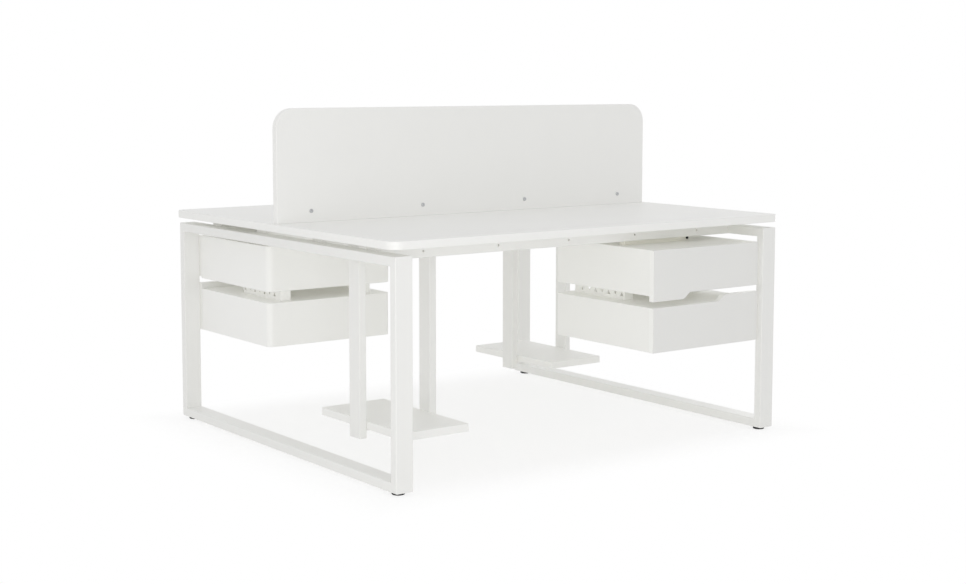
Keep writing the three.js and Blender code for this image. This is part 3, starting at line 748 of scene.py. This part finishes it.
def link_channel(low, high, opening):
    """An upright channel with a row of triangles in its web, which point up and down by turns."""
    web = low.x if opening > 0 else high.x
    outline = channel_outline(web, opening, high.x - low.x, low.y, high.y, LINK_WALL, LINK_BEND)
    bm = prism(outline, "z", low.z, high.z)
    holes = bmesh.new()
    middle = (low + high) / 2
    half_width = LINK_HOLE_SIZE[0] / 2
    for index, offset in enumerate(even_places(LINK_HOLE_COUNT, LINK_HOLE_PITCH)):
        y = middle.y - LINK_HOLE_SHIFT + offset
        rise = LINK_HOLE_SIZE[1] / 2 * (-1 if index % 2 else 1)
        corners = [(y - half_width, -rise), (y + half_width, -rise), (y, rise)]
        triangle = filleted([(along, middle.z + up, LINK_HOLE_CORNER) for along, up in corners])
        add_prism(holes, triangle, "x", web - 2 * LINK_WALL, web + 2 * LINK_WALL)
    return drilled(bm, holes)


def drawer(half, turn, level):
    """A drawer with its casing and rails."""
    body = f"{half}_{level}_drawer"
    low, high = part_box(f"near_{level}_drawer_front")
    front = ease(prism(FRONT_OUTLINES[level](low, high), "y", low.y, high.y), FRONT_EDGE, ("y", high.y))
    # The front's faces take a darker white, painted shade of the side that faces the front, and its edges a
    # lighter white, edge banding that also paints the highlight along them.
    piece(f"{body}_front_board", front, (front_white_painted_shade, front_band_and_highlight), body, f"{body}_front", turn)

    case_low, case_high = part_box(f"near_{level}_casing")
    case_high.z = min(case_high.z, high.z)  # the upper casing's box takes in its hangers too
    piece(f"{half}_{level}_casing_sheet", casing(case_low, case_high), (sheet_white, sheet_white), "desk",
          f"{half}_{level}_casing", turn, CASE_WALL)
    tray_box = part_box(f"near_{level}_drawer_tray")
    piece(f"{body}_tray_sheet", tray(*tray_box), (sheet_white, sheet_white), body,
          f"{body}_tray", turn, TRAY_WALL)

    for name, side in SIDES:
        for kind, holder, opening in (("fixed", "desk", -side), ("sliding", body, side)):
            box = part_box(f"near_{level}_{kind}_rail_{name}")
            node = f"{half}_{level}_{kind}_rail_{name}"
            piece(f"{node}_channel", rail(*box, opening), (zinc, zinc), holder, node, turn)


def hangers(half, turn):
    """Two bars between the upper casing's roof and the beams, and a lock screw in the front bar."""
    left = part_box("near_upper_casing")[0].x + HANGER_INSET
    right = left + HANGER_LENGTH
    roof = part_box("near_upper_drawer_front")[1].z
    bars = bmesh.new()
    for row, shift in HANGER_SHIFTS:
        beam_low, beam_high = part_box(f"near_beam_{row}")
        front = (beam_low.y + beam_high.y - HANGER_WIDTH) / 2 + shift
        outline = rectangle(left, front, right, front + HANGER_WIDTH, HANGER_EDGE, HANGER_EDGE)
        add_prism(bars, outline, "z", roof, beam_low.z - SEAT)
        if row == "outer":
            screw_at = (right - HANGER_SCREW_PLACE[0], front, beam_low.z - HANGER_SCREW_PLACE[1])
    # The bars' olive-grey colour is painted shade, for the shade under the beams.
    piece(f"{half}_upper_casing_hangers", bars, (steel_painted_shade, steel_painted_shade), "desk", turn=turn)
    screw = add_turned(bmesh.new(), SCREW_HEAD, screw_at, TO_FRONT)
    piece(f"{half}_upper_casing_lock_screw", screw, (black_plastic,), "desk", turn=turn)


for half, turn in HALVES:
    for level in ("upper", "lower"):
        drawer(half, turn, level)
    for name, side in SIDES:
        node = f"{half}_link_channel_{name}"
        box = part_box(f"near_link_channel_{name}")
        piece(f"{node}_sheet", link_channel(*box, -side), (sheet_white, sheet_white), "desk",
              node, turn)
    hangers(half, turn)


# Floor, light and camera

def math_node(tree, operation, *values):
    """The result of a math node; each value is a number or another node's output."""
    result = tree.nodes.new("ShaderNodeMath")
    result.operation = operation
    for socket, value in zip(result.inputs, values):
        if isinstance(value, float):
            socket.default_value = value
        else:
            tree.links.new(value, socket)
    return result.outputs["Value"]


def backdrop_light(tree):
    """1 for the rays that see the backdrop: from the camera, in gloss and through glass."""
    path = tree.nodes.new("ShaderNodeLightPath")
    either = math_node(tree, "MAXIMUM", path.outputs["Is Camera Ray"], path.outputs["Is Glossy Ray"])
    return math_node(tree, "MAXIMUM", either, path.outputs["Is Transmission Ray"])


def mix_shaders(tree, share, first, second):
    """Two shaders mixed, by the second one's share."""
    mix = tree.nodes.new("ShaderNodeMixShader")
    tree.links.new(share, mix.inputs["Fac"])
    tree.links.new(first, mix.inputs[1])
    tree.links.new(second, mix.inputs[2])
    return mix.outputs["Shader"]


def coordinates_of(tree, kind):
    """The X, Y and Z outputs of a kind of texture coordinates."""
    parts = tree.nodes.new("ShaderNodeSeparateXYZ")
    tree.links.new(tree.nodes.new("ShaderNodeTexCoord").outputs[kind], parts.inputs["Vector"])
    return parts.outputs


def light_world():
    """Soft light that grows from the walls to the ceiling, before a white backdrop."""
    world = bpy.data.worlds.new("studio")
    bpy.context.scene.world = world
    world.use_nodes = True
    tree = world.node_tree
    tree.nodes.clear()
    ambient = tree.nodes.new("ShaderNodeBackground")
    ambient.inputs["Color"].default_value = (*AMBIENT_COLOUR, 1.0)
    strength = map_range(tree, coordinates_of(tree, "Generated")["Z"], (0.0, 1.0), AMBIENT_LEVELS)
    tree.links.new(strength, ambient.inputs["Strength"])
    white = tree.nodes.new("ShaderNodeBackground")
    white.inputs["Color"].default_value = (1.0, 1.0, 1.0, 1.0)
    white.inputs["Strength"].default_value = 1.0
    output = tree.nodes.new("ShaderNodeOutputWorld")
    seen = mix_shaders(tree, backdrop_light(tree), ambient.outputs["Background"], white.outputs["Background"])
    tree.links.new(seen, output.inputs["Surface"])


def lay_floor():
    """A pale floor that keeps the desk's shadow and turns into the white backdrop away from the desk."""
    bm = bmesh.new()
    bmesh.ops.create_circle(bm, cap_ends=True, segments=FLOOR_SIDES, radius=FLOOR_RADIUS)
    floor = object_of("floor", bm)
    material, tree, shader = new_material("floor_white")
    shader.inputs["Base Color"].default_value = (*FLOOR_COLOUR, 1.0)
    shader.inputs["Roughness"].default_value = 1.0
    shader.inputs["Specular IOR Level"].default_value = 0.0
    glow = tree.nodes.new("ShaderNodeEmission")
    coordinates = coordinates_of(tree, "Object")
    reaches = [math_node(tree, "ABSOLUTE", math_node(tree, "DIVIDE", coordinates[axis], edge))
               for axis, edge in (("X", cad_high.x), ("Y", cad_high.y))]
    reach = math_node(tree, "MAXIMUM", *reaches)
    whiteness = map_range(tree, reach, FLOOR_WHITE_REACH, FLOOR_WHITE_SHARES, "SMOOTHSTEP")
    share = math_node(tree, "MULTIPLY", backdrop_light(tree), whiteness)
    seen = mix_shaders(tree, share, shader.outputs["BSDF"], glow.outputs["Emission"])
    tree.links.new(seen, tree.nodes["Material Output"].inputs["Surface"])
    floor.data.materials.append(material)
    floor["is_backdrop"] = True


def add_lamp(name, kind, toward, power, location=(0.0, 0.0, 0.0)):
    """A lamp that the camera doesn't see."""
    data = bpy.data.lights.new(name, kind)
    data.energy = power
    lamp = bpy.data.objects.new(name, data)
    lamp.location = location
    lamp.rotation_mode = "QUATERNION"
    lamp.rotation_quaternion = toward.to_track_quat("-Z", "Y")
    lamp.visible_camera = False
    bpy.context.scene.collection.objects.link(lamp)
    return lamp


def area_light(name, location, target, size, power):
    """A soft box that faces a target."""
    lamp = add_lamp(name, "AREA", Vector(target) - Vector(location), power, location)
    lamp.data.shape = "RECTANGLE"
    lamp.data.size, lamp.data.size_y = size


def fill_light(name, toward, power):
    """An even light without shadows or gloss, which lifts the gaps between the pieces."""
    lamp = add_lamp(name, "SUN", Vector(toward), power)
    lamp.data.color = FILL_COLOUR
    lamp.data.use_shadow = False
    lamp.visible_glossy = False


def place_camera():
    """The photograph's view."""
    data = bpy.data.cameras.new("camera")
    data.lens = CAMERA_LENS
    data.sensor_width = CAMERA_SENSOR_WIDTH
    data.shift_x, data.shift_y = CAMERA_SHIFT
    camera = bpy.data.objects.new("camera", data)
    camera.location = CAMERA_PLACE
    camera.rotation_euler = (math.pi / 2 - CAMERA_TILT, 0.0, CAMERA_BEARING)
    bpy.context.scene.collection.objects.link(camera)
    bpy.context.scene.camera = camera


light_world()
lay_floor()

# Low soft boxes light what the worktops keep the ceiling's light from. Many bounces carry that light
# into the gaps, and weak fills from the front and the back lift what stays dark there.
area_light("key", location=(-2.1, -2.5, 0.7), target=(-0.2, -0.2, 0.5), size=(1.4, 1.0), power=9.8)
area_light("right_strip", location=(4.2, 1.4, 0.6), target=(0.0, 0.2, 0.4), size=(2.4, 0.9), power=14.0)
fill_light("front_fill", toward=(0.66, 0.60, -0.45), power=0.40)
fill_light("back_fill", toward=(-0.66, -0.60, -0.45), power=0.18)
bpy.context.scene.cycles.diffuse_bounces = DIFFUSE_BOUNCES

place_camera()
bpy.context.scene.view_settings.view_transform = "Standard"

low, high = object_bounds()
